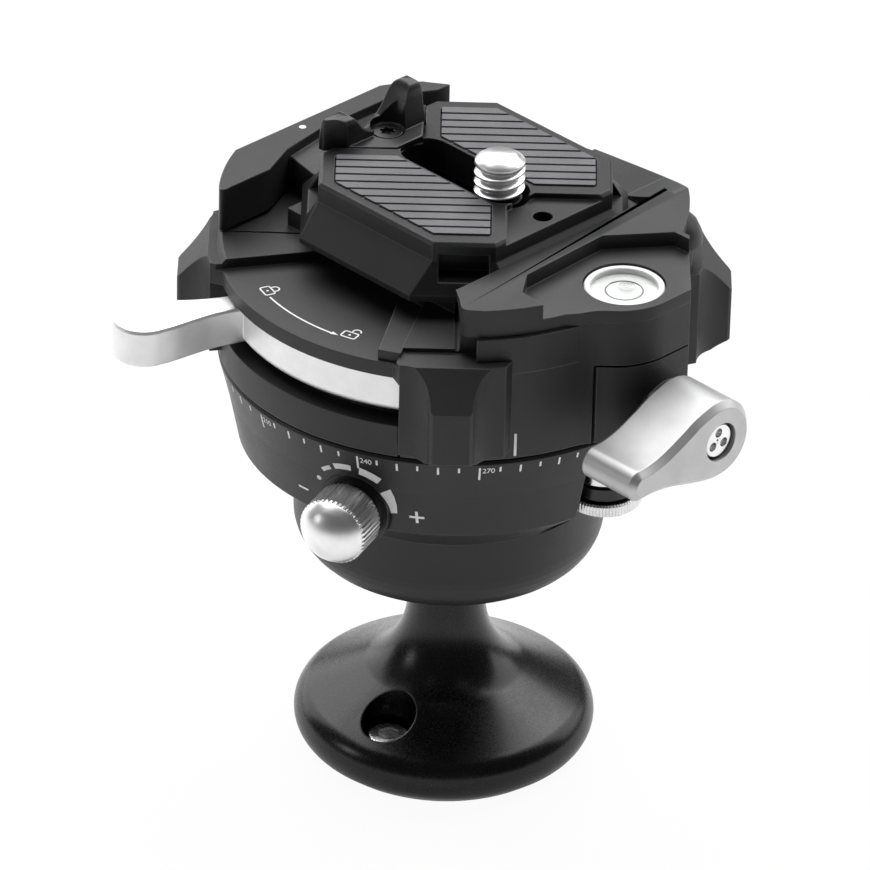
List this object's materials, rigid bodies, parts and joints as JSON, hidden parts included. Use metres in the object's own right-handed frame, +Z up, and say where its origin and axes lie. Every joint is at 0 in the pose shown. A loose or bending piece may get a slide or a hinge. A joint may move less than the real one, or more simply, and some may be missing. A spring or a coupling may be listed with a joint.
{
  "type": "inverted ball head",
  "caption": "Inverted ball head for a tripod: trumpet foot and ball below, panning upper body with lock lever, level and square dovetail quick release plate on top.",
  "frame": {"origin": "centre of the tripod thread in the foot's underside", "axes": "+Z up along the foot and ball, +X along the quick release channel towards its end stop, -Y towards the main lock lever"},
  "size_m": [0.0707, 0.0739, 0.0879],
  "materials": {
    "body_black": "satin black anodised, fine bead blasted",
    "foot_black": "smooth satin black anodised",
    "jaw_black": "satin black anodised",
    "plate_black": "satin black anodised",
    "bracket_black": "satin black",
    "ball_steel": "polished",
    "knob_silver": "clear anodised, satin",
    "lever_silver": "clear anodised, bead blasted",
    "steel": "turned stainless steel",
    "inner_steel": "machined",
    "pad_rubber": "matte ribbed rubber",
    "level_white": "gloss white",
    "level_clear": "clear"
  },
  "bodies": {
    "base": {"base_foot": "foot_black", "foot_lock_screw": "steel"},
    "ball": {"ball": "ball_steel"},
    "housing": {"ball_housing": "body_black", "knob_seat": "foot_black", "pressure_cup": "inner_steel", "thrust_ring": "inner_steel"},
    "friction_knob": {"friction_knob": "knob_silver", "friction_shaft": "inner_steel"},
    "pan_lock": {"pan_lock_wheel": "knob_silver", "pan_lock_hub": "foot_black", "pan_lock_pin": "steel"},
    "upper": {"pan_shell": "body_black", "clamp_core": "body_black", "fixed_jaw": "jaw_black", "level_body": "level_white", "level_glass": "level_clear"},
    "plunger": {"lock_plunger": "inner_steel"},
    "main_lever": {"main_lever": "lever_silver", "lever_screw": "steel", "lever_shaft": "steel", "lever_washer": "steel"},
    "release_lever": {"release_lever": "lever_silver", "crank_pin": "inner_steel"},
    "moving_jaw": {"moving_jaw": "jaw_black", "jaw_tongue": "inner_steel"},
    "plate": {"plate_body": "plate_black", "pad_right": "pad_rubber", "pad_left": "pad_rubber", "twist_bracket": "bracket_black", "bracket_screw": "bracket_black"},
    "slider": {"screw_slider": "bracket_black"},
    "camera_screw": {"camera_screw": "steel"}
  },
  "joints": [
    {"name": "ball_turn", "type": "hinge", "parent": "base", "child": "ball", "pos_m": [0, 0, 0.0385], "axis": [0, 0, 1], "continuous": true},
    {"name": "ball_tilt", "type": "hinge", "parent": "ball", "child": "housing", "pos_m": [0, 0, 0.0385], "axis": [-0.7071, 0.7071, 0], "range_deg": [-26, 85]},
    {"name": "friction_turn", "type": "hinge", "parent": "housing", "child": "friction_knob", "pos_m": [-0.01879, -0.00684, 0.0486], "axis": [-0.9397, -0.342, 0], "range_deg": [-150, 150]},
    {"name": "pan_lock_turn", "type": "hinge", "parent": "housing", "child": "pan_lock", "pos_m": [0.0021, -0.0249, 0.05], "axis": [0, 0, 1], "range_deg": [-60, 210]},
    {"name": "pan_turn", "type": "hinge", "parent": "housing", "child": "upper", "pos_m": [0, 0, 0.058], "axis": [0, 0, 1], "continuous": true},
    {"name": "main_lever_turn", "type": "hinge", "parent": "upper", "child": "main_lever", "pos_m": [0.0021, -0.0334, 0.0623], "axis": [0, 1, 0], "range_deg": [0, 80]},
    {"name": "plunger_press", "type": "slide", "parent": "upper", "child": "plunger", "axis": [0, 0, -1], "range_m": [0, 0.0003]},
    {"name": "release_turn", "type": "hinge", "parent": "upper", "child": "release_lever", "pos_m": [0, 0, 0.0665], "axis": [0, 0, 1], "range_deg": [0, 42]},
    {"name": "jaw_slide", "type": "slide", "parent": "upper", "child": "moving_jaw", "axis": [0, 1, 0], "range_m": [0, 0.002]},
    {"name": "plate_slide", "type": "slide", "parent": "upper", "child": "plate", "axis": [1, 0, 0], "range_m": [-0.02, 0]},
    {"name": "screw_slide", "type": "slide", "parent": "plate", "child": "slider", "axis": [0, 1, 0], "range_m": [-0.0006, 0.0125]},
    {"name": "screw_turn", "type": "hinge", "parent": "slider", "child": "camera_screw", "pos_m": [0.0009, -0.0065, 0.08], "axis": [0, 0, 1], "continuous": true}
  ],
  "couplings": [
    {"joint": "jaw_slide", "follows": "release_turn", "m_per_rad": 0.0027283},
    {"joint": "plunger_press", "follows": "main_lever_turn", "m_per_rad": 0.00021485}
  ]
}
